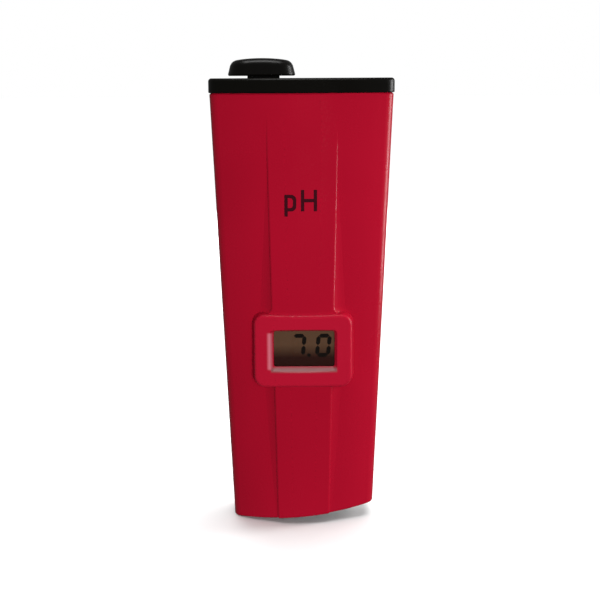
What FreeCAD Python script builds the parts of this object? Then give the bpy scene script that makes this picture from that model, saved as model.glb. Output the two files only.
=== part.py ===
import FreeCAD, Part
import os
from math import atan2, cos, pi, sin, sqrt

# A pocket pH tester that stands on its lower end. Millimetres, +Z up along the length, the display
# faces -Y, and X runs to the right as the display is read. The origin is at the middle of the foot.

V = FreeCAD.Vector
X, Y, Z = V(1, 0, 0), V(0, 1, 0), V(0, 0, 1)

# Body: both faces and both sides are straight along the length, and everything tapers downwards.
body_top = 98.55          # upper edge of the two shells, just under the lid
width_top = 40.8
width_bottom = 32.5
front_top = -11.5         # front face at the centre line, at the top and at the bottom
front_bottom = -8.3
back_top = 11.5
back_bottom = 8.7
front_sagitta = 5.5       # how far the curved front falls back towards the sides
back_sagitta = 2.5
corner_radius = 3.2
wall = 1.6
rim_slope = 0.0974        # the open lower rim rises to the right
rim_round = 0.35          # rounding of the outer edge of the rim
top_chamfer = 0.3
seam_width, seam_depth = 0.3, 0.22    # groove where the two shells meet

# Raised band down the middle of the front. Each section is its height, the band's width, its rise
# above the face, and the width of the hollow flank at each side.
band_upper = ((97.5, 16.2, -0.12, 0.8), (48.0, 14.0, 1.55, 4.2))
band_lower = ((36.0, 13.3, 1.3, 3.6), (-1.0, 12.0, 0.45, 2.6))
band_round = 0.45
flare_high, flare_radius, flare_steps = 51.75, 2.0, 6    # arc along which the band widens into the bezel
flare_sink = 0.04         # the flare starts this far inside the band
flare_narrowing = 1.1     # how much narrower the flank gets for the widening, so its foot runs on straight
flank_sink = 0.05         # the flank's foot ends this far inside the face
hollow_across, hollow_down = 0.44, 0.6    # the hollow's deepest point, as shares of the flank and of its drop

# Display bezel, and the window that narrows through it to the pane's seat
bezel_z = 41.6
bezel_front = -11.95
bezel_width, bezel_height, bezel_corner = 21.4, 16.3, 2.2
bezel_draft = 0.82
bezel_root = 4.6          # the frame's sides reach this far back into the shell
bezel_round = 0.75
bezel_bulge_radius = 62.0
window_x, window_z = 0.03, 41.68
window_width, window_height = 16.34, 10.2
opening_x, opening_z = 0.27, 42.05
opening_width, opening_height = 13.65, 8.1
window_corner, opening_corner = 1.1, 0.5
window_seat = -10.65

# Display stack behind the window, front to back
display_z = 41.9
pane_width, pane_height, pane_thick = 17.0, 11.0, 0.8
pocket_front, pocket_back = -9.9, -5.0
pocket_width, pocket_height = 18.4, 12.4
glass_front, glass_thick = -9.84, 0.55
front_glass_width, front_glass_height = 17.6, 11.6
rear_glass_width, rear_glass_height = 16.4, 9.0
reflector_width, reflector_height, reflector_thick = 15.8, 8.8, 0.2
frame_width, frame_height = 18.2, 12.2
frame_open_width, frame_open_height = 16.7, 10.5
strip_offset, strip_half_length, strip_half_height = 4.9, 7.4, 0.3
gap = 0.02

# Circuit board
board_front, board_thick = -4.2, 1.0
board_low, board_high, board_step = 28.8, 88.0, 82.4
board_half_low, board_half_high = 11.6, 14.0
board_back = board_front + board_thick
board_screw_places = ((-9.5, 54.0), (9.5, 54.0))
board_post_radius, board_screw_radius, board_screw_head = 1.7, 0.68, 1.5

# Parts on the rear of the board, by their x and z
blob_x, blob_z, blob_sphere_radius, blob_sphere_depth = 3.0, 44.0, 6.5, 4.9
opamp_x, opamp_z, opamp_width, opamp_length, lead_pitch = 2.0, 61.0, 4.0, 5.0, 1.27
resistor_places = ((-4.0, 50.0), (-4.0, 53.0), (10.0, 60.0), (10.0, 63.0), (10.0, 66.0), (0.0, 72.0),
                   (3.4, 72.0))
resistor_width, resistor_height = 2.0, 1.25
capacitor_places = ((8.5, 74.0), (-2.0, 78.0))
capacitor_radius, capacitor_height = 2.0, 4.6

# Lid, slide knob and switch
lid_bottom, lid_top = 98.6, 101.8
lid_overhang = 0.2
lid_lip, lid_lip_wall, lid_lip_gap = 2.2, 1.0, 0.15
lid_round, lid_foot_round = 0.7, 0.25
gasket_half, gasket_outer, gasket_inner = 0.5, 0.5, 1.4    # half its height, and its edges inside the body
knob_x, knob_y = -8.4, -1.0
knob_travel = 3.2
head_x = -8.84            # the head reaches a little further left than its stem
head_width, head_depth, head_height = 15.15, 10.2, 3.85
head_corner = 4.6
crown_radius = 38.0
head_taper = 1.0          # each side leans in by this much over the head's height
head_lift = 0.5
head_round, head_foot_round = 1.9, 0.35
stem_width, stem_depth = 7.1, 5.0
slot_gap = 0.15
fork_width, fork_depth, fork_thick = 10.0, 7.4, 1.1
prong_depth, prong_low, prong_gap = 2.0, 89.6, 0.1
lever_width, lever_depth = 2.0, 1.3
lever_top = 91.5
switch_width, switch_depth, switch_low = 9.6, 4.4, 83.4
switch_top = 88.2

# Button cells, side by side along X
cell_radius, cell_thick, cell_count = 5.8, 5.4, 3
cell_x, cell_y, cell_z = 0.9, 0.95, 90.0
cell_shoulder, cell_crimp = 0.7, 0.9      # length of the narrower negative end, and how much narrower it is
holder_left, holder_right, holder_end = -1.2, 16.3, 17.95
contact_thick = 0.22

# Trimmers and their access holes
trimmer_z = (62.0, 73.0)
trimmer_x = -7.0
trimmer_size, trimmer_height = 6.0, 3.2
rotor_radius, rotor_height = 1.9, 1.3
rotor_slot_length, rotor_slot_width, rotor_slot_depth = 3.0, 0.6, 0.45
access_radius = 1.6

# Housing screws: x at the lower pair and at the upper pair, and their heights
screw_places = ((13.9, 31.0), (16.0, 77.0))
boss_radius, screw_radius = 1.75, 0.9
screw_head_radius, screw_head_height, screw_head_sink = 1.7, 1.3, 0.5
recess_length, recess_width, recess_depth = 2.2, 0.44, 0.6

# Electrode and storage cap
electrode_y = 0.55
bulkhead_low, bulkhead_high = 22.0, 26.0
electrode_radius, electrode_low, electrode_high = 4.5, 9.0, 28.2
bulb_radius, bulb_z, bulb_wall = 2.6, 6.5, 0.35
stem_tube_radius, stem_tube_bore = 1.5, 1.1
collar_radius, tube_wall, junction_x, junction_radius = 5.6, 0.9, 2.9, 0.6
cap_outer, cap_inner, cap_top = 6.2, 5.0, 14.0
foot_radius, cap_floor = 5.1, 2.6
seal_low, seal_high, seal_depth = 2.6, 1.2, 0.55    # the seal's groove, down from the cap's mouth
grip_count, grip_radius = 18, 0.5
wire_radius, lead_radius = 0.3, 0.35


def blend(z, low, high):
    """Straight taper between the rim and the upper edge of the body."""
    return low + (high - low) * z / body_top


def half_width(z):
    return blend(z, width_bottom, width_top) / 2


def front_face(z):
    return blend(z, front_bottom, front_top)


def back_face(z):
    return blend(z, back_bottom, back_top)


def box(x0, x1, y0, y1, z0, z1):
    return Part.makeBox(x1 - x0, y1 - y0, z1 - z0, V(x0, y0, z0))


def cylinder(radius, start, end):
    along = end - start
    return Part.makeCylinder(radius, along.Length, start, along)


def ring(outer, inner, start, end):
    return cylinder(outer, start, end).cut(cylinder(inner, start, end))


def line(a, b):
    return Part.LineSegment(a, b).toShape()


def arc(a, middle, b):
    return Part.Arc(a, middle, b).toShape()


def mirrored(point):
    return V(-point.x, point.y, point.z)


def corner_of_section(z, grow, face, sagitta, side):
    """Right-hand corner of one face: its end on the face, its middle, its end on the side wall."""
    half = half_width(z) + grow
    corner = corner_radius + grow
    radius = (half_width(z) ** 2 + sagitta ** 2) / (2 * sagitta) + grow
    centre_y = face - side * (radius - grow)
    corner_x = half - corner
    corner_y = centre_y + side * sqrt((radius - corner) ** 2 - corner_x ** 2)
    stretch = radius / (radius - corner)
    angle = atan2(corner_y - centre_y, corner_x)
    on_face = V(corner_x * stretch, centre_y + (corner_y - centre_y) * stretch, z)
    middle = V(corner_x + corner * cos(angle / 2), corner_y + corner * sin(angle / 2), z)
    on_side = V(half, corner_y, z)
    return on_face, middle, on_side, V(0, face + side * grow, z)


def body_section(z, grow):
    """Closed outline of the body at height z, moved outwards by grow."""
    f_face, f_middle, f_side, f_crest = corner_of_section(z, grow, front_face(z), front_sagitta, -1)
    b_face, b_middle, b_side, b_crest = corner_of_section(z, grow, back_face(z), back_sagitta, 1)
    return Part.Wire([
        arc(mirrored(f_face), f_crest, f_face),
        arc(f_face, f_middle, f_side),
        line(f_side, b_side),
        arc(b_side, b_middle, b_face),
        arc(b_face, b_crest, mirrored(b_face)),
        arc(mirrored(b_face), mirrored(b_middle), mirrored(b_side)),
        line(mirrored(b_side), mirrored(f_side)),
        arc(mirrored(f_side), mirrored(f_middle), mirrored(f_face)),
    ])


def loft(low, high):
    return Part.makeLoft([low, high], True, True)


def body_solid(grow, low=-4.0, high=body_top):
    return loft(body_section(low, grow), body_section(high, grow))


def below_rim():
    """Everything under the slanted plane of the lower rim."""
    half = width_bottom / 2
    block = Part.makeBox(120, 80, 30, V(-60, -40, -30))
    block.rotate(V(0, 0, 0), Y, -atan2(rim_slope, 1) * 180 / pi)
    block.translate(V(0, 0, rim_slope * half))
    return block


def rounded_rectangle(width, height, radius, centre, up):
    """Closed outline about centre, with its width along X and its height along up."""
    w, h, c = width / 2, height / 2, radius * (1 - sqrt(0.5))

    def at(x, t):
        return centre + X * x + up * t

    return Part.Wire([
        line(at(radius - w, -h), at(w - radius, -h)),
        arc(at(w - radius, -h), at(w - c, c - h), at(w, radius - h)),
        line(at(w, radius - h), at(w, h - radius)),
        arc(at(w, h - radius), at(w - c, h - c), at(w - radius, h)),
        line(at(w - radius, h), at(radius - w, h)),
        arc(at(radius - w, h), at(c - w, h - c), at(-w, h - radius)),
        line(at(-w, h - radius), at(-w, radius - h)),
        arc(at(-w, radius - h), at(c - w, c - h), at(radius - w, -h)),
    ])


def display_block(width, height, radius, y0, y1):
    outline = rounded_rectangle(width, height, radius, V(0, y0, display_z), Z)
    return Part.Face(outline).extrude(Y * (y1 - y0))


def band_at(z):
    """Width, rise and flank of the straight upper band, carried on to height z."""
    (high, *upper), (low, *lower) = band_upper
    share = (z - low) / (high - low)
    return [value + (other - value) * share for value, other in zip(lower, upper)]


def band_spans():
    """Pairs of band sections from the top down, with the flare as short steps along its arc."""
    flare = []
    for step in range(flare_steps + 1):
        turn = pi / 2 * step / flare_steps
        z = flare_high - flare_radius * sin(turn)
        width, proud, flank = band_at(z)
        widening = flare_radius * (1 - cos(turn))
        width += 2 * (widening - flare_sink)
        flare.append((z, width, proud - flare_sink, flank - flare_narrowing * widening))
    return [band_upper, *zip(flare, flare[1:]), band_lower]


def band_section(z, width, proud, flank):
    """Outline of the band at one height: it follows the crown, with a hollow flank at each side."""
    half = width / 2
    crown = (half_width(z) ** 2 + front_sagitta ** 2) / (2 * front_sagitta)
    front = front_face(z) - proud
    fall = half ** 2 / (2 * crown)
    spread = (half + flank) ** 2 / (2 * crown)
    foot = V(half + flank, front_face(z) + spread + flank_sink, z)
    shoulder = V(half, front + fall + band_round, z)
    hollow = V(half + flank * hollow_across, shoulder.y + (foot.y - shoulder.y) * hollow_down, z)
    turn = V(half - band_round * 0.3, front + fall + band_round * 0.3, z)
    edge = V(half - band_round, front + (half - band_round) ** 2 / (2 * crown), z)
    return Part.Wire([
        arc(mirrored(edge), V(0, front, z), edge),
        arc(edge, turn, shoulder),
        arc(shoulder, hollow, foot),
        line(foot, mirrored(foot)),
        arc(mirrored(foot), mirrored(hollow), mirrored(shoulder)),
        arc(mirrored(shoulder), mirrored(turn), mirrored(edge)),
    ])


def bezel():
    """Raised frame with drafted sides, a front that bulges a little, and a rounded edge."""
    base = V(0, bezel_front + bezel_root, bezel_z)
    front = V(0, bezel_front - 1.0, bezel_z)
    block = loft(
        rounded_rectangle(bezel_width + 2 * bezel_draft, bezel_height + 2 * bezel_draft,
                          bezel_corner + bezel_draft, base, Z),
        rounded_rectangle(bezel_width - 0.4, bezel_height - 0.4, bezel_corner, front, Z))
    centre = V(0, bezel_front + bezel_bulge_radius, 0)
    block = block.common(cylinder(bezel_bulge_radius, centre + Z * 20, centre + Z * 60))
    rim = [edge for edge in block.Edges if edge.BoundBox.YMax < bezel_front + 2.0
           and edge.BoundBox.YMin < bezel_front + 1.6]
    return block.makeFillet(bezel_round, rim)


def window_cut():
    """Room for the display: a funnel through the bezel, the pane's seat and the pocket behind it."""
    front = V(window_x, bezel_front - 0.3, window_z)
    rear = V(opening_x, window_seat + 0.01, opening_z)
    funnel = loft(rounded_rectangle(window_width, window_height, window_corner, front, Z),
                  rounded_rectangle(opening_width, opening_height, opening_corner, rear, Z))
    return funnel.multiFuse([
        display_block(pane_width + 0.1, pane_height + 0.1, 0.6, window_seat, pocket_front),
        display_block(pocket_width, pocket_height, 0.8, pocket_front, pocket_back)])


def half_space(front):
    return box(-60, 60, -60, 0, -20, 140) if front else box(-60, 60, 0, 60, -20, 140)


def screw_points():
    return [V(side * x, 0, z) for x, z in screw_places for side in (-1, 1)]


def screw_seat(place):
    """Middle of the ledge under a screw's head, sunk into the curved back."""
    face = back_face(place.z) - back_sagitta * (place.x / half_width(place.z)) ** 2
    return V(place.x, face - screw_head_height - screw_head_sink, place.z)


def edges_on_rim(shape):
    """Edges of the slanted face that closes the solid body at its lower end."""
    chosen = []
    for edge in shape.Edges:
        ends = [edge.valueAt(edge.FirstParameter), edge.valueAt(edge.LastParameter)]
        if all(abs(end.z - rim_slope * (end.x + width_bottom / 2)) < 1e-4 for end in ends):
            chosen.append(edge)
    return chosen


def housing():
    """Both shells in one and still filled, and the hollow inside them."""
    solid = body_solid(0)
    for high, low in band_spans():
        solid = solid.fuse(loft(band_section(*low), band_section(*high)))
    solid = solid.cut(below_rim())
    solid = solid.makeFillet(rim_round, edges_on_rim(solid))
    top_edges = [edge for edge in solid.Edges if edge.BoundBox.ZMin > body_top - 0.01]
    solid = solid.makeChamfer(top_chamfer, top_edges)
    seam = body_solid(2.0).cut(body_solid(-seam_depth, -5.0, body_top + 1)).common(
        box(-60, 60, -seam_width / 2, seam_width / 2, -20, 140))
    return solid.fuse(bezel()).cut(seam), body_solid(-wall, -5.0, body_top + 1)


def front_shell(solid, cavity):
    shell = solid.cut(cavity).cut(window_cut()).common(half_space(True))
    room = body_solid(-wall + 0.3)
    for place in screw_points():
        post = cylinder(boss_radius, place - Y * 12, place).common(room)
        shell = shell.fuse(post).cut(cylinder(screw_radius + gap, place - Y * 3.6, place + Y))
    for x, z in board_screw_places:
        post = cylinder(board_post_radius, V(x, -12, z), V(x, board_front, z)).common(room)
        hole = cylinder(board_screw_radius + gap, V(x, board_front - 3, z), V(x, 0, z))
        shell = shell.fuse(post).cut(hole)
    return shell


def rear_shell(solid, cavity):
    shell = solid.cut(cavity).common(half_space(False))
    room = body_solid(-wall + 0.3)
    for place in screw_points():
        seat = screw_seat(place)
        tower = cylinder(boss_radius + 0.6, V(place.x, 0.0, place.z), V(place.x, 14, place.z)).common(room)
        shell = shell.fuse(tower)
        shell = shell.cut(cylinder(screw_radius + 0.2, place - Y, place + Y * 14))
        shell = shell.cut(cylinder(screw_head_radius + 0.2, seat, seat + Y * 8))
    for z in trimmer_z:
        shell = shell.cut(cylinder(access_radius, V(trimmer_x, 4, z), V(trimmer_x, 14, z)))
    return shell


def housing_screws():
    screws = []
    for place in screw_points():
        seat = screw_seat(place)
        head = cylinder(screw_head_radius, seat, seat + Y * screw_head_height)
        top = seat.y + screw_head_height
        head = head.fuse(cylinder(screw_radius, place - Y * 3.2, seat))
        for wide, high in ((recess_length, recess_width), (recess_width, recess_length)):
            head = head.cut(box(place.x - wide / 2, place.x + wide / 2, top - recess_depth, top + 1,
                                place.z - high / 2, place.z + high / 2))
        screws.append(head)
    return Part.makeCompound(screws)


def display_parts():
    pane = display_block(pane_width, pane_height, 0.5, window_seat + gap, window_seat + pane_thick)
    rear_y = glass_front + glass_thick + gap
    back_y = rear_y + glass_thick + gap
    frame = display_block(frame_width, frame_height, 0.7, rear_y, board_front)
    frame = frame.cut(display_block(frame_open_width, frame_open_height, 0.4, rear_y - 1, board_front + 1))
    strips = []
    for side in (-1, 1):
        centre = display_z + side * strip_offset
        strips.append(box(-strip_half_length, strip_half_length, rear_y, board_front - gap,
                          centre - strip_half_height, centre + strip_half_height))
    return {
        "display_window": pane,
        "lcd_front_glass": display_block(front_glass_width, front_glass_height, 0.3,
                                         glass_front, glass_front + glass_thick),
        "lcd_rear_glass": display_block(rear_glass_width, rear_glass_height, 0.3,
                                        rear_y, rear_y + glass_thick),
        "lcd_reflector": display_block(reflector_width, reflector_height, 0.3,
                                       back_y, back_y + reflector_thick),
        "lcd_frame": frame,
        "zebra_strip_lower": strips[0],
        "zebra_strip_upper": strips[1],
    }


def main_board():
    outline = [(-board_half_low, board_low), (board_half_low, board_low), (board_half_high, board_step),
               (-1.2, board_step), (-1.2, board_high), (-board_half_high, board_high)]
    points = [V(x, board_front, z) for x, z in outline]
    board = Part.Face(Part.makePolygon(points + points[:1])).extrude(Y * board_thick)
    for x, z in board_screw_places:
        hole = cylinder(board_screw_radius + 0.27, V(x, board_front - 1, z), V(x, board_back + 1, z))
        board = board.cut(hole)
    return board


def board_screws():
    screws = []
    for x, z in board_screw_places:
        head = cylinder(board_screw_head, V(x, board_back + gap, z), V(x, board_back + 1.0, z))
        head = head.cut(box(x - 1.2, x + 1.2, board_back + 0.6, board_back + 2, z - 0.2, z + 0.2))
        shank = cylinder(board_screw_radius, V(x, board_front - 2.6, z), V(x, board_back + gap, z))
        screws.append(head.fuse(shank))
    return Part.makeCompound(screws)


def chip_blob():
    blob = Part.makeSphere(blob_sphere_radius, V(blob_x, board_back - blob_sphere_depth, blob_z))
    return blob.common(box(-10, 14, board_back + gap, 5, 30, 60))


def opamp_package():
    x1 = opamp_x + opamp_width
    body = box(opamp_x, x1, board_back + 0.15, board_back + 1.7, opamp_z, opamp_z + opamp_length)
    leads = []
    for row in range(4):
        z = opamp_z + 0.6 + lead_pitch * row
        for x in (opamp_x - 1.0, x1):
            leads.append(box(x, x + 1.0, board_back + gap, board_back + 0.35, z - 0.2, z + 0.2))
    return body.multiFuse(leads)


def resistors():
    return Part.makeCompound([
        box(x, x + resistor_width, board_back + gap, board_back + 0.7, z, z + resistor_height)
        for x, z in resistor_places])


def capacitors():
    cans = []
    top = board_back + capacitor_height
    for x, z in capacitor_places:
        can = cylinder(capacitor_radius, V(x, board_back + gap, z), V(x, top, z))
        cans.append(can.makeFillet(0.3, [edge for edge in can.Edges if edge.BoundBox.YMin > top - 0.01]))
    return Part.makeCompound(cans)


def trimmer(z):
    half = trimmer_size / 2
    top = board_back + trimmer_height
    case = box(trimmer_x - half, trimmer_x + half, board_back + gap, top, z - half, z + half)
    well = cylinder(rotor_radius + 0.08, V(trimmer_x, top - rotor_height, z), V(trimmer_x, top + 1, z))
    rotor_low = top - rotor_height + 0.05
    rotor = cylinder(rotor_radius, V(trimmer_x, rotor_low, z), V(trimmer_x, top + 0.25, z))
    slot = box(trimmer_x - rotor_slot_length / 2, trimmer_x + rotor_slot_length / 2,
               top - rotor_slot_depth, top + 1, z - rotor_slot_width / 2, z + rotor_slot_width / 2)
    return case.cut(well), rotor.cut(slot)


def lid_solid(low, high, grow):
    """A slab with the outline of the body's upper end."""
    wire = body_section(body_top, grow)
    wire.translate(V(0, 0, low - body_top))
    return Part.Face(wire).extrude(Z * (high - low))


def lid_slot(low, high, grow):
    """Room for the knob's stem over its whole travel."""
    left = knob_x - stem_width / 2 - grow
    right = knob_x + stem_width / 2 + knob_travel + grow
    half = stem_depth / 2 + grow
    return box(left, right, knob_y - half, knob_y + half, low, high)


def top_lid():
    plate = lid_solid(lid_bottom, lid_top, lid_overhang)
    upper = [edge for edge in plate.Edges if edge.BoundBox.ZMin > lid_top - 0.01]
    plate = plate.makeFillet(lid_round, upper)
    lower = [edge for edge in plate.Edges if edge.BoundBox.ZMax < lid_bottom + 0.01]
    plate = plate.makeFillet(lid_foot_round, lower)
    outer = lid_solid(lid_bottom - lid_lip, lid_bottom + 0.5, -wall - lid_lip_gap)
    inner = lid_solid(lid_bottom - lid_lip - 1, lid_bottom, -wall - lid_lip_gap - lid_lip_wall)
    groove = lid_solid(lid_bottom - gasket_half, lid_bottom + gasket_half, -gasket_outer).cut(
        lid_solid(lid_bottom - 1, lid_bottom + 1, -gasket_inner))
    return plate.cut(groove).fuse(outer.cut(inner)).cut(lid_slot(lid_bottom - 3, lid_top + 1, slot_gap))


def lid_gasket():
    return lid_solid(lid_bottom + 0.03, lid_bottom + gasket_half, -gasket_outer - gap).cut(
        lid_solid(lid_bottom - 1, lid_bottom + 1, -gasket_inner + gap))


def power_knob():
    low = lid_top + head_lift
    high = low + head_height
    rise = 1.2            # the sides are drawn past the crown, which then cuts them off
    head = loft(
        rounded_rectangle(head_width, head_depth, head_corner, V(head_x, knob_y, low), Y),
        rounded_rectangle(head_width - 2 * rise * head_taper, head_depth - 2 * rise * head_taper,
                          head_corner - rise * head_taper, V(head_x, knob_y, low + rise * head_height), Y))
    crown = cylinder(crown_radius, V(head_x, -40, high - crown_radius), V(head_x, 40, high - crown_radius))
    head = head.common(crown)
    head = head.makeFillet(head_round, [edge for edge in head.Edges if edge.BoundBox.ZMin > low + 2.0])
    head = head.makeFillet(head_foot_round, [edge for edge in head.Edges if edge.BoundBox.ZMax < low + 0.01])
    half_w, half_d = stem_width / 2, stem_depth / 2
    stem = box(knob_x - half_w, knob_x + half_w, knob_y - half_d, knob_y + half_d,
               lid_bottom - 0.3, low + 0.5)
    return head.fuse(stem)


def knob_fork():
    """Retaining plate under the lid, with two prongs that hold the switch lever between them."""
    high = lid_bottom - 0.3
    plate = box(knob_x - fork_width / 2, knob_x + fork_width / 2,
                knob_y - fork_depth / 2, knob_y + fork_depth / 2, high - fork_thick, high)
    prongs = []
    for side in (-1, 1):
        near = knob_x + side * (lever_width / 2 + prong_gap)
        far = near + side * fork_thick
        prongs.append(box(min(near, far), max(near, far), knob_y - prong_depth / 2,
                          knob_y + prong_depth / 2, prong_low, high - 0.5))
    return plate.multiFuse(prongs)


def slide_switch_body():
    centre = knob_x + knob_travel / 2
    case = box(centre - switch_width / 2, centre + switch_width / 2, board_back + gap,
               board_back + switch_depth, switch_low, switch_top)
    left = knob_x - lever_width / 2 - 0.3
    right = knob_x + lever_width / 2 + knob_travel + 0.3
    half = lever_depth / 2 + 0.15
    room = box(left, right, knob_y - half, knob_y + half, switch_low + 1.2, switch_top + 1)
    pins = [box(centre + x - 0.25, centre + x + 0.25, board_back + gap, board_back + 0.5,
                switch_low - 1.4, switch_low) for x in (-2.5, 0, 2.5)]
    return case.cut(room).multiFuse(pins)


def slide_switch_lever():
    half_w, half_d = lever_width / 2, lever_depth / 2
    return box(knob_x - half_w, knob_x + half_w, knob_y - half_d, knob_y + half_d,
               switch_low + 1.5, lever_top)


def button_cell(index):
    start = V(cell_x + index * cell_thick + gap, cell_y, cell_z)
    shoulder = start + X * cell_shoulder
    can = cylinder(cell_radius, shoulder, start + X * (cell_thick - gap))
    rim = [edge for edge in can.Edges if edge.BoundBox.XMin > start.x + cell_thick - 0.1]
    can = can.makeFillet(0.35, rim)
    return can.fuse(cylinder(cell_radius - cell_crimp, start, shoulder))


def battery_holder():
    y0, y1 = cell_y - cell_radius - 0.7, cell_y + cell_radius + 0.7
    low = cell_z - cell_radius - 0.9
    high = cell_z + 3.0
    cradle = box(holder_left, holder_right, y0, y1, low, high)
    end = box(holder_right - 0.1, holder_end, cell_y - 4.6, cell_y + 4.6, low, high)
    bay = box(holder_left + 0.6, holder_end - 0.55, cell_y - cell_radius - 0.1,
              cell_y + cell_radius + 0.1, low + 0.8, high + 1)
    window = box(3.5, 14.5, y0 - 1, y1 + 1, low + 4.0, high + 1)
    return cradle.fuse(end).cut(bay).cut(window)


def battery_positive_contact():
    last = cell_x + cell_count * cell_thick
    near = last + 0.03
    return box(near, near + contact_thick, cell_y - 3.6, cell_y + 3.6, cell_z - 4.9, cell_z + 4.2)


def battery_negative_spring():
    """A folded leaf: a base against the holder's inner wall and a bowed finger on the first cell."""
    base, touch = cell_x - 1.48, cell_x - 0.02
    outline = [(base, -4.0), (base + 0.2, -4.0), (base + 0.2, 3.9), (touch - 0.22, 0.2), (touch - 0.33, -2.0),
               (touch - 0.13, -2.0), (touch, 0.2), (base + 0.2, 4.6), (base, 4.6)]
    points = [V(x, cell_y - 1.8, cell_z + z) for x, z in outline]
    return Part.Face(Part.makePolygon(points + points[:1])).extrude(Y * 3.6)


def electrode_bulkhead():
    slab = body_solid(-wall - 0.03).common(box(-60, 60, -60, 60, bulkhead_low, bulkhead_high))
    slab = slab.cut(cylinder(electrode_radius + 0.04, electrode_axis(10), electrode_axis(40)))
    for place in screw_points():
        slab = slab.cut(cylinder(2.6, place - Y * 14, place + Y * 14))
    return slab


def electrode_axis(z):
    return V(0, electrode_y, z)


def electrode_body():
    tube = cylinder(electrode_radius, electrode_axis(electrode_low), electrode_axis(electrode_high))
    tube = tube.makeFillet(0.6, [edge for edge in tube.Edges if edge.BoundBox.ZMax < electrode_low + 0.01])
    collar = cylinder(collar_radius, electrode_axis(bulkhead_high + gap), electrode_axis(bulkhead_high + 1.4))
    bore = cylinder(electrode_radius - tube_wall, electrode_axis(electrode_low + 1.5), electrode_axis(40))
    throat = cylinder(stem_tube_radius + 0.03, electrode_axis(0), electrode_axis(20))
    vent = cylinder(junction_radius + 0.03, electrode_axis(0) + X * junction_x,
                    electrode_axis(12) + X * junction_x)
    return tube.fuse(collar).cut(bore).cut(throat).cut(vent)


def glass_membrane():
    bulb = Part.makeSphere(bulb_radius, electrode_axis(bulb_z))
    tube = cylinder(stem_tube_radius, electrode_axis(bulb_z), electrode_axis(electrode_high - 1))
    hollow = Part.makeSphere(bulb_radius - bulb_wall, electrode_axis(bulb_z))
    bore = cylinder(stem_tube_bore, electrode_axis(bulb_z), electrode_axis(electrode_high))
    return bulb.fuse(tube).cut(hollow.fuse(bore))


def reference_wire():
    return cylinder(wire_radius, electrode_axis(bulb_z - 1.0), electrode_axis(electrode_high + 1.0))


def reference_junction():
    low = electrode_axis(electrode_low - 0.1) + X * junction_x
    return cylinder(junction_radius, low, low + Z * 1.7)


def electrode_o_ring():
    return Part.makeTorus(electrode_radius + 0.83, 0.8, electrode_axis(bulkhead_low - 0.83), Z)


def storage_cap():
    foot = cylinder(foot_radius, electrode_axis(0), electrode_axis(cap_floor))
    foot = foot.makeFillet(0.4, [edge for edge in foot.Edges if edge.BoundBox.ZMax < 0.01])
    cup = cylinder(cap_outer, electrode_axis(cap_floor - 0.6), electrode_axis(cap_top))
    cup = cup.makeFillet(0.35, [edge for edge in cup.Edges if edge.BoundBox.ZMin > cap_top - 0.01])
    bore = cylinder(cap_inner, electrode_axis(cap_floor), electrode_axis(cap_top + 1))
    groove = cylinder(cap_inner + seal_depth, electrode_axis(cap_top - seal_low),
                      electrode_axis(cap_top - seal_high))
    grips = []
    for index in range(grip_count):
        turn = 2 * pi * index / grip_count
        centre = electrode_axis(0) + (X * cos(turn) + Y * sin(turn)) * (cap_outer + grip_radius / 2)
        grips.append(cylinder(grip_radius, centre + Z * (cap_floor + 1.0), centre + Z * (cap_top - 3.2)))
    return foot.fuse(cup).cut(bore).cut(groove).cut(Part.makeCompound(grips))


def storage_cap_seal():
    return ring(cap_inner + seal_depth - 0.03, electrode_radius + 0.08,
                electrode_axis(cap_top - seal_low + 0.03), electrode_axis(cap_top - seal_high - 0.03))


def bent_wire(points, radius):
    """Round wire along straight runs with a ball at each bend."""
    pieces = [cylinder(radius, a, b) for a, b in zip(points, points[1:])]
    pieces += [Part.makeSphere(radius, point) for point in points[1:-1]]
    return pieces[0].multiFuse(pieces[1:])


def leads():
    top = electrode_high
    inner = [electrode_axis(top + 1.02), electrode_axis(top + 3.0), V(1.2, board_back + 1.5, 34.5),
             V(1.2, board_back + gap, 34.5)]
    outer = [V(2.6, electrode_y, top - 2.0), V(2.6, electrode_y, top + 1.6), V(4.4, board_back + 1.5, 33.5),
             V(4.4, board_back + gap, 33.5)]
    return {"signal_lead": bent_wire(inner, lead_radius),
            "reference_lead": bent_wire(outer, lead_radius)}


def build():
    solid, cavity = housing()
    nodes = {
        "front_shell": front_shell(solid, cavity),
        "rear_shell": rear_shell(solid, cavity),
        "housing_screws": housing_screws(),
        "main_board": main_board(),
        "board_screws": board_screws(),
        "meter_chip_blob": chip_blob(),
        "opamp_package": opamp_package(),
        "resistors": resistors(),
        "capacitors": capacitors(),
        "slide_switch_body": slide_switch_body(),
        "slide_switch_lever": slide_switch_lever(),
        "battery_holder": battery_holder(),
        "battery_positive_contact": battery_positive_contact(),
        "battery_negative_spring": battery_negative_spring(),
        "electrode_bulkhead": electrode_bulkhead(),
        "electrode_body": electrode_body(),
        "glass_membrane": glass_membrane(),
        "inner_reference_wire": reference_wire(),
        "reference_junction": reference_junction(),
        "electrode_o_ring": electrode_o_ring(),
        "storage_cap": storage_cap(),
        "storage_cap_seal": storage_cap_seal(),
        "top_lid": top_lid(),
        "lid_gasket": lid_gasket(),
        "power_knob": power_knob(),
        "knob_fork": knob_fork(),
    }
    nodes.update(display_parts())
    nodes.update(leads())
    for name, z in zip(("lower", "upper"), trimmer_z):
        nodes[f"trimmer_body_{name}"], nodes[f"trimmer_rotor_{name}"] = trimmer(z)
    for index in range(cell_count):
        nodes[f"button_cell_{index + 1}"] = button_cell(index)
    return nodes


os.makedirs("parts", exist_ok=True)
for name, shape in build().items():
    print(name, round(shape.Volume, 2), shape.isValid(), len(shape.Solids))
    shape.exportStep(f"parts/{name}.step")
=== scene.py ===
import math

import bmesh
import bpy
from mathutils import Matrix, Vector
from mathutils.bvhtree import BVHTree


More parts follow.
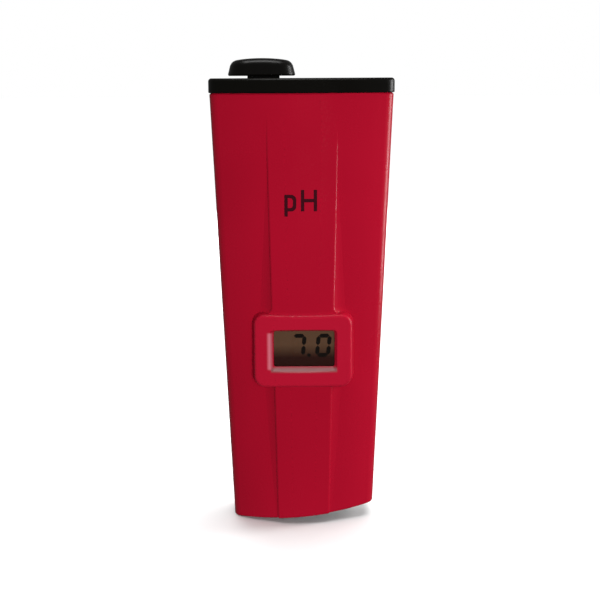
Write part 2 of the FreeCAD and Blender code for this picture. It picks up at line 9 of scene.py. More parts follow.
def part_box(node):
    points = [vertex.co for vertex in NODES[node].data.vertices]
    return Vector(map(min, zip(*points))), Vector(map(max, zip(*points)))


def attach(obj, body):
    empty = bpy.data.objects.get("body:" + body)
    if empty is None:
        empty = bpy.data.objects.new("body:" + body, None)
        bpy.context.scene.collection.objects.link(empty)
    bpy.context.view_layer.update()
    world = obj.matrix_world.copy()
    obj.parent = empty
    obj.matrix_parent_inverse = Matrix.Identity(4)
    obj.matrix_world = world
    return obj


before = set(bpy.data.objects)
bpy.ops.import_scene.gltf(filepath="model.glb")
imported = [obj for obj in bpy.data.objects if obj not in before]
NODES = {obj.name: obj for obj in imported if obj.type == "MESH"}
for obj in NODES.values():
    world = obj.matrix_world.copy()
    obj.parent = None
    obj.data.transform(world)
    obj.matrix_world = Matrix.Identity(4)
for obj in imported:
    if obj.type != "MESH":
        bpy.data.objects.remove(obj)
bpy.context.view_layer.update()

MM = 0.001
SCENE = bpy.context.scene
COLOR_A, COLOR_B, COLOR_OUT = 6, 7, 2     # the Mix node's colour sockets
NUMBER_FACTOR, NUMBER_A, NUMBER_B = 0, 2, 3    # and its plain number sockets
SMUDGE_SIZE, SCUFF_SIZE, GRAIN_SIZE, BRUSH_SIZE = 0.007, 0.0016, 0.00025, 0.0004    # metres
SCUFF_ROUGHNESS = 0.06

# Painted highlights on the front shell, in object coordinates (metres): the bezel's face painted lighter
# than the body, and glints painted on the window's left bevel and on its sill; the Y pairs fade out
# backwards
BEZEL_X, BEZEL_Y, BEZEL_Z = (-0.0115, 0.0115), (-0.0108, -0.0100), (0.0328, 0.0504)
BEVEL_X, BEVEL_Y, BEVEL_Z = (-0.0082, -0.0067), (-0.0104, -0.0100), (0.0372, 0.0460)
SILL_X, SILL_Z = (-0.0074, 0.0078), (0.0366, 0.0381)
# painted highlight colours: the bezel's lit face, the left bevel's glint and the sill's glint
BEZEL_PAINTED_LIGHT, BEVEL_PAINTED_GLINT, SILL_PAINTED_GLINT = (0.460, 0.0068, 0.029), (0.66, 0.16, 0.21), (0.28, 0.10, 0.105)

# The display film's own colour, and the painted shade that takes its lower part nearly black
FILM_BRIGHT, FILM_PAINTED_SHADE = (0.128, 0.066, 0.036), (0.026, 0.006, 0.004)
FILM_SHADE_BELOW, FILM_UNSHADED_ABOVE = 0.27, 0.60    # shares of the film's height


# ---------------------------------------------------------------- node materials

class Paint:
    """A node material: helpers that add nodes, and one Principled shader at the end."""

    def __init__(self, name):
        self.material = bpy.data.materials.new(name)
        self.material.use_nodes = True
        self.tree = self.material.node_tree
        self.shader = self.tree.nodes["Principled BSDF"]

    def node(self, kind, **settings):
        made = self.tree.nodes.new(kind)
        for key, value in settings.items():
            setattr(made, key, value)
        return made

    def link(self, source, target):
        self.tree.links.new(source, target)

    def set(self, **values):
        """Constant values on the shader's own sockets."""
        for key, value in values.items():
            self.shader.inputs[key.replace("_", " ")].default_value = value

    def feed(self, socket, value):
        """Links a socket, or sets it to a constant."""
        if isinstance(value, bpy.types.NodeSocket):
            self.link(value, socket)
        else:
            socket.default_value = value

    def place(self, stretch=(1, 1, 1)):
        """Object coordinates in metres, stretched."""
        coordinates = self.node("ShaderNodeTexCoord")
        mapping = self.node("ShaderNodeMapping")
        mapping.inputs["Scale"].default_value = stretch
        self.link(coordinates.outputs["Object"], mapping.inputs["Vector"])
        return mapping.outputs["Vector"]

    def axis(self, name):
        """One object coordinate, in metres."""
        split = self.node("ShaderNodeSeparateXYZ")
        self.link(self.place(), split.inputs["Vector"])
        return split.outputs[name]

    def noise(self, size, detail=3.0, roughness=0.5, stretch=(1, 1, 1)):
        """Noise with features of about size metres."""
        made = self.node("ShaderNodeTexNoise")
        made.inputs["Scale"].default_value = 1.0 / size
        made.inputs["Detail"].default_value = detail
        made.inputs["Roughness"].default_value = roughness
        self.link(self.place(stretch), made.inputs["Vector"])
        return made.outputs["Fac"]

    def spread(self, value, low, high, out_low=0.0, out_high=1.0):
        """value from low..high mapped to out_low..out_high, clamped."""
        made = self.node("ShaderNodeMapRange")
        for key, number in zip(("From Min", "From Max", "To Min", "To Max"), (low, high, out_low, out_high)):
            made.inputs[key].default_value = number
        self.link(value, made.inputs["Value"])
        return made.outputs["Result"]

    def math(self, operation, first, second):
        made = self.node("ShaderNodeMath", operation=operation)
        for socket, value in zip(made.inputs, (first, second)):
            self.feed(socket, value)
        return made.outputs[0]

    def mix(self, factor, first, second):
        """Blend of two colours, each a socket or three numbers."""
        made = self.node("ShaderNodeMix", data_type="RGBA")
        self.link(factor, made.inputs["Factor"])
        for index, value in ((COLOR_A, first), (COLOR_B, second)):
            self.feed(made.inputs[index], (*value, 1.0) if isinstance(value, tuple) else value)
        return made.outputs[COLOR_OUT]

    def bump(self, height, distance):
        made = self.node("ShaderNodeBump")
        made.inputs["Distance"].default_value = distance
        self.link(height, made.inputs["Height"])
        return made.outputs["Normal"]

    def finish(self, color=None, roughness=None, normal=None):
        for name, socket in (("Base Color", color), ("Roughness", roughness), ("Normal", normal)):
            if socket is not None:
                self.link(socket, self.shader.inputs[name])
        return self.material


def moulded(name, dark, light, rough=(0.30, 0.42), specular=0.3,
            depth=0.000010, drift_size=0.03, tint=None):
    """Satin moulded plastic: slow colour drift, handling marks in the gloss, and a fine eroded grain."""
    paint = Paint(name)
    drift = paint.noise(drift_size, 2.0)
    smudge = paint.noise(SMUDGE_SIZE, 4.0, 0.6)
    scuff = paint.noise(SCUFF_SIZE, 3.0, 0.6, (1, 1, 0.25))
    fine = paint.noise(GRAIN_SIZE, 2.0, 0.6)
    color = paint.mix(paint.spread(drift, 0.3, 0.7), dark, light)
    gloss = paint.math("ADD", paint.spread(smudge, 0.3, 0.75, *rough),
                       paint.spread(scuff, 0.55, 0.8, 0.0, SCUFF_ROUGHNESS))
    paint.set(Specular_IOR_Level=specular)
    # tint, where given, adds painted highlights to the colour
    return paint.finish(tint(paint, color) if tint else color, gloss, paint.bump(fine, depth))


def inside(paint, name, low, high, soft=0.0002):
    """1 where one coordinate lies between low and high metres, fading out over a short way."""
    rise = paint.spread(paint.axis(name), low, low + soft)
    fall = paint.spread(paint.axis(name), high - soft, high, 1.0, 0.0)
    return paint.math("MULTIPLY", rise, fall)


def both(paint, first, second):
    return paint.math("MULTIPLY", first, second)


def window_painted_highlights(paint, color):
    """Painted highlights: the bezel's face painted lighter than the body, and pale glints painted on the
    window's left bevel and on its sill.
    """
    bezel = both(paint, inside(paint, "X", *BEZEL_X), inside(paint, "Z", *BEZEL_Z, 0.0006))
    front = both(paint, bezel, paint.spread(paint.axis("Y"), *BEZEL_Y, 1.0, 0.0))
    # painted highlight: the bezel's face lighter than the body
    color = paint.mix(front, color, BEZEL_PAINTED_LIGHT)
    bevel = paint.spread(paint.axis("Y"), *BEVEL_Y, 1.0, 0.0)
    upright = both(paint, inside(paint, "Z", *BEVEL_Z, 0.0005), bevel)
    left = both(paint, inside(paint, "X", *BEVEL_X, 0.0006), upright)
    # painted glint on the window's left bevel
    color = paint.mix(left, color, BEVEL_PAINTED_GLINT)
    across = both(paint, inside(paint, "X", *SILL_X, 0.0004), bevel)
    sill = both(paint, inside(paint, "Z", *SILL_Z, 0.0006), across)
    # painted glint on the window's sill
    return paint.mix(sill, color, SILL_PAINTED_GLINT)


def metal(name, color, rough=(0.22, 0.36), brush=(1, 1, 1)):
    """Plated or drawn metal, with fine lines along one direction."""
    paint = Paint(name)
    lines = paint.noise(BRUSH_SIZE, 3.0, 0.6, brush)
    stain = paint.noise(0.004, 3.0, 0.6)
    tone = paint.mix(paint.spread(lines, 0.3, 0.7), tuple(c * 0.86 for c in color), color)
    tone = paint.mix(paint.spread(stain, 0.55, 0.8), tone, tuple(c * 0.7 for c in color))
    paint.set(Metallic=1.0)
    return paint.finish(tone, paint.spread(stain, 0.3, 0.7, *rough), paint.bump(lines, 0.000005))


def see_through(name, tint, alpha, rough=0.04, ior=1.49):
    """Clear sheet that lets light straight through, with a little dust in its gloss."""
    paint = Paint(name)
    dust = paint.noise(0.0018, 4.0, 0.65)
    paint.set(Base_Color=(*tint, 1.0), Alpha=alpha, IOR=ior)
    return paint.finish(None, paint.spread(dust, 0.45, 0.8, rough, rough + 0.08))


def rubber(name, color):
    paint = Paint(name)
    fine = paint.noise(0.0003, 3.0, 0.7)
    bloom = paint.noise(0.004, 3.0, 0.6)
    tone = paint.mix(paint.spread(bloom, 0.45, 0.8), color, tuple(c * 1.8 + 0.004 for c in color))
    paint.set(Specular_IOR_Level=0.25)
    return paint.finish(tone, paint.spread(bloom, 0.3, 0.7, 0.55, 0.75), paint.bump(fine, 0.000012))


def circuit_board(name):
    """Green solder mask over glass weave."""
    paint = Paint(name)
    weave = paint.noise(0.0004, 2.0, 0.5, (1, 1, 0.4))
    cloud = paint.noise(0.009, 3.0, 0.6)
    mask = paint.mix(paint.spread(weave, 0.3, 0.7), (0.006, 0.055, 0.018), (0.009, 0.068, 0.023))
    color = paint.mix(paint.spread(cloud, 0.45, 0.7), mask, (0.012, 0.085, 0.030))
    paint.set(Specular_IOR_Level=0.5)
    return paint.finish(color, paint.spread(weave, 0.3, 0.7, 0.22, 0.34), paint.bump(weave, 0.000006))


def display_film(name, strength=1.0):
    """The display's polariser, grey-brown, with painted shade that takes it nearly black towards the lower
    edge.
    """
    paint = Paint(name)
    low, high = (corner.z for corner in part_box("lcd_reflector"))
    fine = paint.noise(0.0002, 2.0, 0.6)
    bright = tuple(value * strength for value in FILM_BRIGHT)
    light = paint.mix(paint.spread(fine, 0.3, 0.7), tuple(value * 0.88 for value in bright), bright)
    # painted shade: the film fades to nearly black towards its lower edge
    shade = paint.spread(paint.axis("Z"), low + FILM_SHADE_BELOW * (high - low),
                         low + FILM_UNSHADED_ABOVE * (high - low))
    color = paint.mix(shade, FILM_PAINTED_SHADE, light)
    paint.set(Roughness=0.45, Specular_IOR_Level=0.15)
    return paint.finish(color, None, paint.bump(fine, 0.000004))


def layered(name, dark, light, pitch):
    """Rubber made of thin conducting and insulating layers along X."""
    paint = Paint(name)
    bands = paint.node("ShaderNodeTexWave", wave_type="BANDS", bands_direction="X", wave_profile="SAW")
    bands.inputs["Scale"].default_value = 0.5 / pitch
    paint.link(paint.place(), bands.inputs["Vector"])
    paint.set(Roughness=0.6)
    color = paint.mix(bands.outputs["Fac"], dark, light)
    return paint.finish(color, None, paint.bump(bands.outputs["Fac"], 0.00001))


def dress(material, *names):
    for name in names:
        for slot in NODES[name].material_slots:
            slot.material = material


def dress_nodes():
    red = ((0.385, 0.0036, 0.0200), (0.430, 0.0043, 0.0230), (0.24, 0.34), 0.10)
    dress(moulded("red_front_painted_light", *red, tint=window_painted_highlights), "front_shell")
    dress(moulded("red_rear", *red), "rear_shell")
    dress(moulded("black_lid", (0.0022, 0.0019, 0.0014), (0.0034, 0.0030, 0.0022), specular=0.12), "top_lid")
    dress(moulded("black_knob", (0.0018, 0.0015, 0.0014), (0.0028, 0.0024, 0.0021), (0.24, 0.34), 0.16),
          "power_knob")
    dress(moulded("black_cap", (0.006, 0.006, 0.0058), (0.009, 0.009, 0.0088), (0.34, 0.46)),
          "storage_cap", "knob_fork", "slide_switch_lever")
    dress(moulded("grey_holder", (0.022, 0.022, 0.024), (0.03, 0.03, 0.032), (0.42, 0.55)),
          "battery_holder", "lcd_frame", "electrode_bulkhead")
    dress(moulded("chip_resin", (0.008, 0.008, 0.008), (0.014, 0.014, 0.013), (0.3, 0.5), drift_size=0.003),
          "meter_chip_blob", "opamp_package")
    dress(moulded("chip_resistor", (0.014, 0.014, 0.016), (0.03, 0.03, 0.03), (0.4, 0.5), drift_size=0.001),
          "resistors")
    dress(moulded("trimmer_case", (0.012, 0.06, 0.30), (0.02, 0.08, 0.36), (0.34, 0.46), drift_size=0.004),
          "trimmer_body_lower", "trimmer_body_upper")
    dress(moulded("electrode_resin", (0.010, 0.024, 0.055), (0.014, 0.032, 0.07), (0.18, 0.28), 0.5),
          "electrode_body")
    dress(moulded("porous_ceramic", (0.62, 0.58, 0.50), (0.72, 0.68, 0.60), (0.7, 0.85), depth=0.00004),
          "reference_junction")
    dress(moulded("white_wire", (0.62, 0.61, 0.57), (0.7, 0.69, 0.66), (0.4, 0.5)), "signal_lead")
    dress(moulded("black_wire", (0.010, 0.010, 0.010), (0.014, 0.014, 0.014), (0.4, 0.5)), "reference_lead")
    dress(metal("zinc_screw", (0.55, 0.55, 0.53)), "housing_screws", "board_screws")
    dress(metal("tinned_case", (0.62, 0.62, 0.60), (0.25, 0.4), (1, 1, 0.15)), "slide_switch_body")
    dress(metal("can_sleeve", (0.55, 0.56, 0.58), (0.2, 0.35), (1, 0.1, 1)), "capacitors")
    dress(metal("nickel_contact", (0.66, 0.62, 0.52), (0.2, 0.3), (1, 1, 0.1)),
          "battery_positive_contact", "battery_negative_spring")
    dress(metal("nickel_cell", (0.62, 0.61, 0.58), (0.16, 0.3), (0.12, 1, 1)),
          "button_cell_1", "button_cell_2", "button_cell_3")
    dress(metal("silver_wire", (0.60, 0.60, 0.62), (0.25, 0.4), (1, 1, 0.1)), "inner_reference_wire")
    dress(metal("brass_rotor", (0.62, 0.46, 0.20), (0.25, 0.38)),
          "trimmer_rotor_lower", "trimmer_rotor_upper")
    dress(rubber("seal_rubber", (0.006, 0.006, 0.006)), "electrode_o_ring", "storage_cap_seal", "lid_gasket")
    dress(layered("zebra_rubber", (0.02, 0.02, 0.02), (0.30, 0.28, 0.25), 0.0001),
          "zebra_strip_lower", "zebra_strip_upper")
    dress(see_through("window_pane", (0.02, 0.02, 0.02), 0.06), "display_window")
    dress(see_through("display_glass", (0.02, 0.02, 0.015), 0.2), "lcd_rear_glass")
    dress(see_through("bulb_glass", (0.80, 0.90, 0.92), 0.25, 0.02, 1.52), "glass_membrane")
    dress(circuit_board("solder_mask"), "main_board")
    dress(display_film("display_film"), "lcd_front_glass")
    dress(metal("reflector_foil", (0.62, 0.60, 0.55)), "lcd_reflector")


# ---------------------------------------------------------------- building blocks for the added pieces

ARC_SHARE = 0.45          # the most of a side that one corner's arc may take
LONGEST_EDGE = 0.35       # millimetres; longer edges are cut so that a skin follows its surface
AHEAD_OF_FRONT = -0.05    # metres; a Y in front of everything


def add_piece(name, mesh, material, body):
    """Links a mesh as a new piece that rides on a body, with the given material."""
    piece = bpy.data.objects.new(name, mesh)
    SCENE.collection.objects.link(piece)
    mesh.materials.append(material)
    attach(piece, body)


def mesh_from(name, bm, smooth=False):
    bmesh.ops.recalc_face_normals(bm, faces=bm.faces)
    mesh = bpy.data.meshes.new(name)
    bm.to_mesh(mesh)
    bm.free()
    for face in mesh.polygons:
        face.use_smooth = smooth
    return mesh


def rounded_outline(corners, radius, steps):
    """Outline through the corners in the X-Z plane, each corner turned into an arc."""
    count = len(corners)
    outline = []
    for index, corner in enumerate(corners):
        here = Vector(corner)
        back = Vector(corners[index - 1]) - here
        ahead = Vector(corners[(index + 1) % count]) - here
        reach = min(radius, back.length * ARC_SHARE, ahead.length * ARC_SHARE)
        start, end = here + back.normalized() * reach, here + ahead.normalized() * reach
        for step in range(steps + 1):
            t = step / steps
            outline.append((1 - t) ** 2 * start + 2 * t * (1 - t) * here + t * t * end)
    return outline


def filled(outlines, name):
    """Flat mesh bounded by closed outlines; an outline inside another is a hole."""
    curve = bpy.data.curves.new(name, "CURVE")
    curve.dimensions, curve.fill_mode = "2D", "BOTH"
    for outline in outlines:
        spline = curve.splines.new("POLY")
        spline.points.add(len(outline) - 1)
        for point, place in zip(spline.points, outline):
            point.co = (place.x, place.y, 0, 1)
        spline.use_cyclic_u = True
    holder = bpy.data.objects.new(name, curve)
    mesh = bpy.data.meshes.new_from_object(holder)
    bpy.data.objects.remove(holder)
    return mesh


def front_surface(node):
    """Finds the surface of a node seen from the front: y at (x, z)."""
    mesh = NODES[node].data
    corners = [vertex.co.copy() for vertex in mesh.vertices]
    tree = BVHTree.FromPolygons(corners, [tuple(face.vertices) for face in mesh.polygons])

    def y_at(x, z):
        hit = tree.ray_cast(Vector((x, AHEAD_OF_FRONT, z)), Vector((0, 1, 0)))[0]
        return hit.y
    return y_at


def lay_on(outlines, y_at, name, thickness, lift=0.0, cuts=3):
    """Turns flat outlines (millimetres, X and Z) into a thin skin that follows a surface."""
    flat = filled(outlines, name)
    bm = bmesh.new()
    bm.from_mesh(flat)
    bmesh.ops.triangulate(bm, faces=bm.faces)
    long_edges = [edge for edge in bm.edges if edge.calc_length() > LONGEST_EDGE]
    bmesh.ops.subdivide_edges(bm, edges=long_edges, cuts=cuts, use_grid_fill=True)
    bmesh.ops.triangulate(bm, faces=bm.faces)
    for vertex in bm.verts:
        x, z = vertex.co.x * MM, vertex.co.y * MM
        vertex.co = Vector((x, y_at(x, z) - lift - thickness, z))
    skin = bmesh.ops.extrude_face_region(bm, geom=bm.faces[:])
    for item in skin["geom"]:
        if isinstance(item, bmesh.types.BMVert):
            item.co.y += thickness
    return mesh_from(name, bm)


# ---------------------------------------------------------------- lettering on the band

LETTER_BASE = 73.05      # height of the letters' base line, in millimetres
LETTER_STROKE = 0.74
BOWL_OUTER, BOWL_INNER, STEM_CORNER, LETTER_CORNER = 1.15, 0.62, 0.12, 0.08    # radii
INK_THICK = 0.00003       # metres


def letter_p(left, width, height, tail):
    """Outer outline and counter of a plain lower-case p."""
    right, low, top, stroke = left + width, LETTER_BASE, LETTER_BASE + height, LETTER_STROKE
    stem = [Vector((left, low - tail)), Vector((left + stroke, low - tail)), Vector((left + stroke, low))]
    outer = (stem + arc_corner((right, low), BOWL_OUTER, -90) + arc_corner((right, top), BOWL_OUTER, 0)
             + arc_corner((left, top), STEM_CORNER, 90))
    inner_low, inner_high = (right - stroke, low + stroke), (right - stroke, top - stroke)
    inner = (arc_corner(inner_low, BOWL_INNER, -90) + arc_corner(inner_high, BOWL_INNER, 0)
             + [Vector((left + stroke, top - stroke)), Vector((left + stroke, low + stroke))])
    return [outer, inner]


def arc_corner(corner, radius, start, steps=8):
    """Quarter turn that rounds a corner of a box; start is the angle it sets out from, in degrees."""
    side_x = 1 if start in (-90, 0) else -1
    side_y = 1 if start in (0, 90) else -1
    centre = Vector((corner[0] - side_x * radius, corner[1] - side_y * radius))
    angles = [math.radians(start + 90 * step / steps) for step in range(steps + 1)]
    return [centre + radius * Vector((math.cos(angle), math.sin(angle))) for angle in angles]


def letter_h(left, width, height):
    """Outline of a plain capital H."""
    right, low, top, stroke = left + width, LETTER_BASE, LETTER_BASE + height, LETTER_STROKE
    middle = (low + top) / 2
    half = stroke / 2
    corners = [(left, low), (left + stroke, low), (left + stroke, middle - half),
               (right - stroke, middle - half), (right - stroke, low), (right, low),
               (right, top), (right - stroke, top), (right - stroke, middle + half),
               (left + stroke, middle + half), (left + stroke, top), (left, top)]
    return [rounded_outline(corners, LETTER_CORNER, steps=3)]


def lettering():
    ink = Paint("dark_ink")
    worn = ink.noise(0.0006, 4.0, 0.7)
    ink.set(Specular_IOR_Level=0.2)
    color = ink.mix(ink.spread(worn, 0.62, 0.8), (0.042, 0.0024, 0.0070), (0.12, 0.003, 0.010))
    material = ink.finish(color, ink.spread(worn, 0.3, 0.7, 0.35, 0.5))
    y_at = front_surface("front_shell")
    for name, outlines in (("unit_letter_p", letter_p(left=-3.95, width=2.62, height=3.65, tail=1.12)),
                           ("unit_letter_h", letter_h(left=-0.32, width=3.55, height=4.7))):
        mesh = lay_on(outlines, y_at, name, INK_THICK)
        add_piece(name, mesh, material, "housing")


# ---------------------------------------------------------------- display segments

SEGMENTS = "abcdefg"
DIGIT_SEGMENTS = {"7": "abc", "0": "abcdef", "1": "bc"}
DIGIT_WIDTH, DIGIT_HEIGHT, SEGMENT_WIDTH, SEGMENT_GAP = 3.40, 5.35, 0.92, 0.04
DIGIT_SLANT = 0.09
DIGIT_LOW = 39.95         # height of the digits' lower edge, in millimetres
DIGIT_LEFTS = {"0": 2.65, "7": -3.0, "1": -8.65}
POINT_X, POINT_RADIUS, POINT_SIDES = 1.34, 0.42, 20
SEGMENT_THICK, SEGMENT_LIFT = 0.000010, 0.000004    # metres
UNLIT_STRENGTH = 0.86


def segment_outline(letter, left, low):
    """Six-cornered segment of a seven-segment digit, leaning to the right."""
    right, top = left + DIGIT_WIDTH, low + DIGIT_HEIGHT
    inset = SEGMENT_WIDTH / 2
    x0, x1 = left + inset, right - inset
    z0, z1, z2 = low + inset, (low + top) / 2, top - inset
    ends = {"a": ((x0, z2), (x1, z2)), "b": ((x1, z2), (x1, z1)), "c": ((x1, z1), (x1, z0)),
            "d": ((x0, z0), (x1, z0)), "e": ((x0, z1), (x0, z0)), "f": ((x0, z2), (x0, z1)),
            "g": ((x0, z1), (x1, z1))}[letter]
    start, end = Vector(ends[0]), Vector(ends[1])
    along = (end - start).normalized()
    side = Vector((-along.y, along.x)) * inset
    start, end = start + along * SEGMENT_GAP, end - along * SEGMENT_GAP
    shape = [start, start + along * inset + side, end - along * inset + side, end,
             end - along * inset - side, start + along * inset - side]
    return [Vector((point.x + (point.y - low) * DIGIT_SLANT, point.y)) for point in shape]


def display_segments():
    """Segments on the front of the display: the dark ones that show the reading, and the faint ones."""
    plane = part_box("lcd_front_glass")[0].y
    lit, unlit = [], []
    for digit, left in DIGIT_LEFTS.items():
        leading = digit == "1"    # the leading 1 is off, and it has only its two segments
        shown = "" if leading else DIGIT_SEGMENTS[digit]
        for letter in DIGIT_SEGMENTS[digit] if leading else SEGMENTS:
            (lit if letter in shown else unlit).append(segment_outline(letter, left, DIGIT_LOW))
    lit.append(disc(POINT_X, DIGIT_LOW + POINT_RADIUS, POINT_RADIUS))
    dark = Paint("lit_segment")
    dark.set(Base_Color=(0.006, 0.004, 0.003, 1.0), Roughness=0.5, Specular_IOR_Level=0.1)
    faint = display_film("segment_off", UNLIT_STRENGTH)
    for name, outlines, material in (("display_reading", lit, dark.material),
                                     ("display_segments_off", unlit, faint)):
        mesh = lay_on(outlines, lambda x, z: plane, name, SEGMENT_THICK, SEGMENT_LIFT, cuts=1)
        add_piece(name, mesh, material, "housing")


def disc(x, z, radius):
    angles = [2 * math.pi * step / POINT_SIDES for step in range(POINT_SIDES)]
    return [Vector((x + radius * math.cos(angle), z + radius * math.sin(angle))) for angle in angles]


# ---------------------------------------------------------------- solder and tracks on the board

TRACK_WIDTH, TRACK_THICK = 0.45 * MM, 0.035 * MM
LEAD_ROWS, LEAD_PITCH, LEAD_START = 4, 1.27 * MM, 0.6 * MM    # the amplifier's leads, up each side
# Solder: radius along X and along Z
RESISTOR_SOLDER, LEAD_SOLDER = (0.45 * MM, 0.6 * MM), (0.55 * MM, 0.36 * MM)
SWITCH_SOLDER, WIRE_SOLDER = (0.6 * MM, 0.75 * MM), (0.85 * MM, 0.85 * MM)
LEAD_INSET, SWITCH_RISE, WIRE_INSET = 0.2 * MM, 0.5 * MM, 0.35 * MM
SWITCH_PITCH = 2.5        # millimetres between the switch's pins
SOLDER_PROFILE = ((1.0, 0.0), (0.80, 0.10), (0.62, 0.28), (0.48, 0.50), (0.28, 0.66), (0.0, 0.72))
SOLDER_SIDES = 14
# A route, in millimetres: where its jog starts and ends, how far it steps aside, and where it stops
JOG_START, JOG_END, JOG_ASIDE, ROUTE_LENGTH = 2.2, 3.4, 1.2, 6.2
BOARD_MARGIN = 3.2 * MM
DOWN, UP, LEFT, RIGHT = (0, -1), (0, 1), (-1, 0), (1, 0)
ROUTE_TURNS = ((DOWN, RIGHT), (DOWN, LEFT), (LEFT, DOWN), (LEFT, UP),
               (RIGHT, DOWN), (RIGHT, UP), (UP, RIGHT), (UP, LEFT))


def islands(node):
    """Lowest and highest corners of each separate solid in a node."""
    bm = bmesh.new()
    bm.from_mesh(NODES[node].data)
    bmesh.ops.remove_doubles(bm, verts=bm.verts, dist=1e-6)
    left, boxes = set(bm.verts), []
    while left:
        stack, found = [left.pop()], []
        while stack:
            vertex = stack.pop()
            found.append(vertex.co.copy())
            for edge in vertex.link_edges:
                other = edge.other_vert(vertex)
                if other in left:
                    left.remove(other)
                    stack.append(other)
        boxes.append(tuple(Vector(pick(corner[axis] for corner in found) for axis in range(3))
                           for pick in (min, max)))
    bm.free()
    return sorted(boxes, key=lambda box: (round(box[0].z, 5), round(box[0].x, 5)))


def joint_places():
    """Where solder sits: x, z, and its radius along X and along Z."""
    places = []
    for low, high in islands("resistors"):
        places += [(x, (low.z + high.z) / 2, *RESISTOR_SOLDER) for x in (low.x, high.x)]
    low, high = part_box("opamp_package")
    for row in range(LEAD_ROWS):
        z = low.z + LEAD_START + LEAD_PITCH * row
        places += [(x, z, *LEAD_SOLDER) for x in (low.x + LEAD_INSET, high.x - LEAD_INSET)]
    low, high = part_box("slide_switch_body")
    middle = (low.x + high.x) / 2
    places += [(middle + step * MM, low.z + SWITCH_RISE, *SWITCH_SOLDER)
               for step in (-SWITCH_PITCH, 0, SWITCH_PITCH)]
    for lead in ("signal_lead", "reference_lead"):
        low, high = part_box(lead)
        places.append((high.x - WIRE_INSET, high.z - WIRE_INSET, *WIRE_SOLDER))
    return places


def solder(face, places):
    """Low domes with a concave skirt, as solder wets up a lead."""
    bm = bmesh.new()
    turns = [2 * math.pi * side / SOLDER_SIDES for side in range(SOLDER_SIDES)]
    for x, z, wide, high in places:
        rings = []
        for reach, rise in SOLDER_PROFILE[:-1]:
            rings.append([bm.verts.new((x + wide * reach * math.cos(turn), face + rise * wide,
                                        z + high * reach * math.sin(turn))) for turn in turns])
        top = bm.verts.new((x, face + SOLDER_PROFILE[-1][1] * wide, z))
        for lower, upper in zip(rings, rings[1:]):
            for side in range(SOLDER_SIDES):
                after = (side + 1) % SOLDER_SIDES
                bm.faces.new((lower[side], lower[after], upper[after], upper[side]))
        for side in range(SOLDER_SIDES):
            bm.faces.new((rings[-1][side], rings[-1][(side + 1) % SOLDER_SIDES], top))
        bm.faces.new(rings[0])
    return mesh_from("board_solder", bm, smooth=True)


def track(bm, face, points):
    """One closed flat strip along points, with mitred corners."""
    half = TRACK_WIDTH / 2
    rings = []
    for index, point in enumerate(points):
        runs = [(b - a).normalized() for a, b in zip(points, points[1:])][max(index - 1, 0):index + 1]
        along = sum(runs, Vector((0, 0))).normalized()
        across = Vector((-along.y, along.x)) * half / along.dot(runs[0])
        one, other = point + across, point - across
        corners = ((one, 0), (other, 0), (other, TRACK_THICK), (one, TRACK_THICK))
        rings.append([bm.verts.new((spot.x, face + rise, spot.y)) for spot, rise in corners])
    for ring, after in zip(rings, rings[1:]):
        for side in range(4):
            beside = (side + 1) % 4
            bm.faces.new((ring[side], ring[beside], after[beside], after[side]))
    bm.faces.new(rings[0])
    bm.faces.new(rings[-1])


def samples(points):
    """Points every half track width along a route."""
    found = []
    for a, b in zip(points, points[1:]):
        count = max(2, int((b - a).length / (TRACK_WIDTH / 2)))
        found += [a.lerp(b, step / count) for step in range(count + 1)]
    return found


def on_board(spots):
    low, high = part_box("main_board")
    return all(low.x + BOARD_MARGIN < spot.x < high.x - BOARD_MARGIN
               and low.z + BOARD_MARGIN < spot.y < high.z - BOARD_MARGIN for spot in spots)


def keeps_clear(spots, others):
    return all((spot - other).length > 2 * TRACK_WIDTH for spot in spots for other in others)


def routes(places):
    """A short jogged route from each joint where one fits on the board, clear of joints and routes."""
    taken, chosen = [], []
    joints = [Vector(place[:2]) for place in places]
    for index, start in enumerate(joints):
        others = joints[:index] + joints[index + 1:] + taken
        for along, jog in ROUTE_TURNS:
            ahead, aside = Vector(along), Vector(jog) * JOG_ASIDE
            route = [start, start + ahead * JOG_START * MM, start + (ahead * JOG_END + aside) * MM,
                     start + (ahead * ROUTE_LENGTH + aside) * MM]
            spots = samples(route)
            if on_board(spots) and keeps_clear(spots, others):
                taken += spots
                chosen.append(route)
                break
    return chosen


def board_details():
    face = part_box("main_board")[1].y
    places = joint_places()
    tin = metal("solder_tin", (0.60, 0.60, 0.58), (0.18, 0.34))
    add_piece("board_solder", solder(face, places), tin, "housing")
    bm = bmesh.new()
    for route in routes(places):
        track(bm, face, route)
    green = moulded("masked_track", (0.016, 0.105, 0.036), (0.022, 0.13, 0.046), (0.22, 0.34), 0.5)
    add_piece("board_tracks", mesh_from("board_tracks", bm), green, "housing")


# ---------------------------------------------------------------- floor, light and camera

FLOOR_REACH = 6.0                 # metres each way from the middle
AIM = (0, 0, 0.055)               # what the lights point at
CAMERA_PLACE = (-2.5, -273.39, 101.92)    # millimetres
CAMERA_PITCH, CAMERA_YAW, CAMERA_ROLL = 10.51, 0.41, -0.3    # degrees
CAMERA_LENS, CAMERA_SENSOR = 72.0, 36.0   # millimetres


def floor():
    mesh = bpy.data.meshes.new("floor")
    signs = ((-1, -1), (1, -1), (1, 1), (-1, 1))
    mesh.from_pydata([(x * FLOOR_REACH, y * FLOOR_REACH, 0) for x, y in signs], [], [(0, 1, 2, 3)])
    plane = bpy.data.objects.new("floor", mesh)
    SCENE.collection.objects.link(plane)
    paint = Paint("pale_floor")
    paint.set(Base_Color=(0.93, 0.93, 0.93, 1.0), Roughness=0.85, Specular_IOR_Level=0.0)
    mesh.materials.append(paint.material)
    plane.visible_glossy = False
    plane.visible_diffuse = False


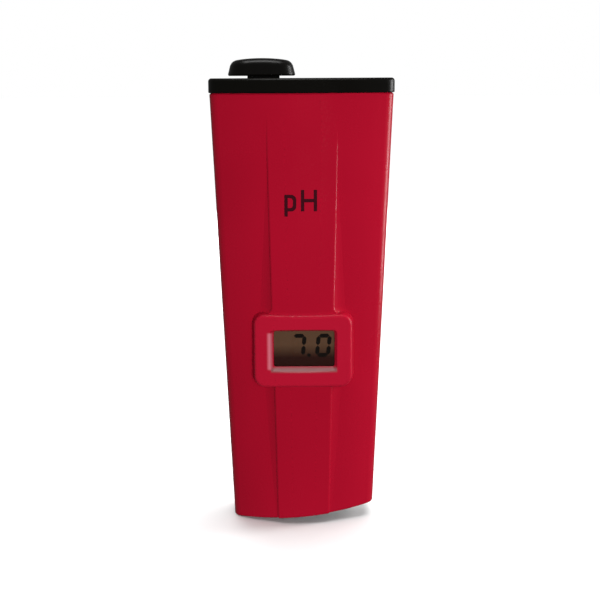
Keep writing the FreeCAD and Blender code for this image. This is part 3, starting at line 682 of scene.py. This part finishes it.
def aimed(name, data, place):
    light = bpy.data.objects.new(name, data)
    light.location = place
    light.rotation_euler = (Vector(AIM) - Vector(place)).to_track_quat("-Z", "Y").to_euler()
    SCENE.collection.objects.link(light)
    return light


def softbox(name, place, width, height, power):
    data = bpy.data.lights.new(name, "AREA")
    data.shape, data.size, data.size_y, data.energy = "RECTANGLE", width, height, power
    box = aimed(name, data, place)
    box.visible_camera = False
    return box


def overhead(strength, spread):
    data = bpy.data.lights.new("overhead", "SUN")
    data.energy, data.angle = strength, math.radians(spread)
    return aimed("overhead", data, (0.10, 0.22, 1.0))


def world_light(seen, glossy, diffuse):
    """A plain pale room: bright where the camera sees it, dimmer in reflections and as fill."""
    world = bpy.data.worlds.new("studio")
    world.use_nodes = True
    tree = world.node_tree
    path = tree.nodes.new("ShaderNodeLightPath")
    first, second = tree.nodes.new("ShaderNodeMix"), tree.nodes.new("ShaderNodeMix")
    first.inputs[NUMBER_A].default_value, first.inputs[NUMBER_B].default_value = diffuse, glossy
    second.inputs[NUMBER_B].default_value = seen
    tree.links.new(path.outputs["Is Glossy Ray"], first.inputs[NUMBER_FACTOR])
    tree.links.new(path.outputs["Is Camera Ray"], second.inputs[NUMBER_FACTOR])
    tree.links.new(first.outputs[0], second.inputs[NUMBER_A])
    tree.links.new(second.outputs[0], tree.nodes["Background"].inputs["Strength"])
    tree.nodes["Background"].inputs["Color"].default_value = (1, 1, 1, 1)
    SCENE.world = world


def camera():
    data = bpy.data.cameras.new("camera")
    data.sensor_width = CAMERA_SENSOR
    data.lens = CAMERA_LENS
    data.clip_start, data.clip_end = 0.01, 20.0
    view = bpy.data.objects.new("camera", data)
    pitch, yaw, roll = (math.radians(angle) for angle in (CAMERA_PITCH, CAMERA_YAW, CAMERA_ROLL))
    view.location = Vector(CAMERA_PLACE) * MM
    turn = (Matrix.Rotation(-yaw, 4, "Z") @ Matrix.Rotation(math.pi / 2 - pitch, 4, "X")
            @ Matrix.Rotation(roll, 4, "Z"))
    view.rotation_euler = turn.to_euler()
    SCENE.collection.objects.link(view)
    SCENE.camera = view


dress_nodes()
lettering()
display_segments()
board_details()

floor()
world_light(seen=1.0, glossy=0.20, diffuse=0.09)
key = softbox("key", (0.060, -0.55, 0.095), width=0.20, height=0.18, power=2.50)
softbox("edge", (0.295, 0.075, 0.09), width=0.10, height=0.22, power=0.95)
ridge = softbox("ridge", (0.0, -0.06, 0.45), width=0.30, height=0.10, power=1.0)
rear = softbox("rear", (-0.15, 0.60, 0.20), width=0.40, height=0.30, power=2.5)
sun = overhead(strength=3.4, spread=60)
key.visible_glossy = rear.visible_glossy = sun.visible_glossy = False
ridge.visible_diffuse = False
camera()
SCENE.view_settings.view_transform = "Standard"
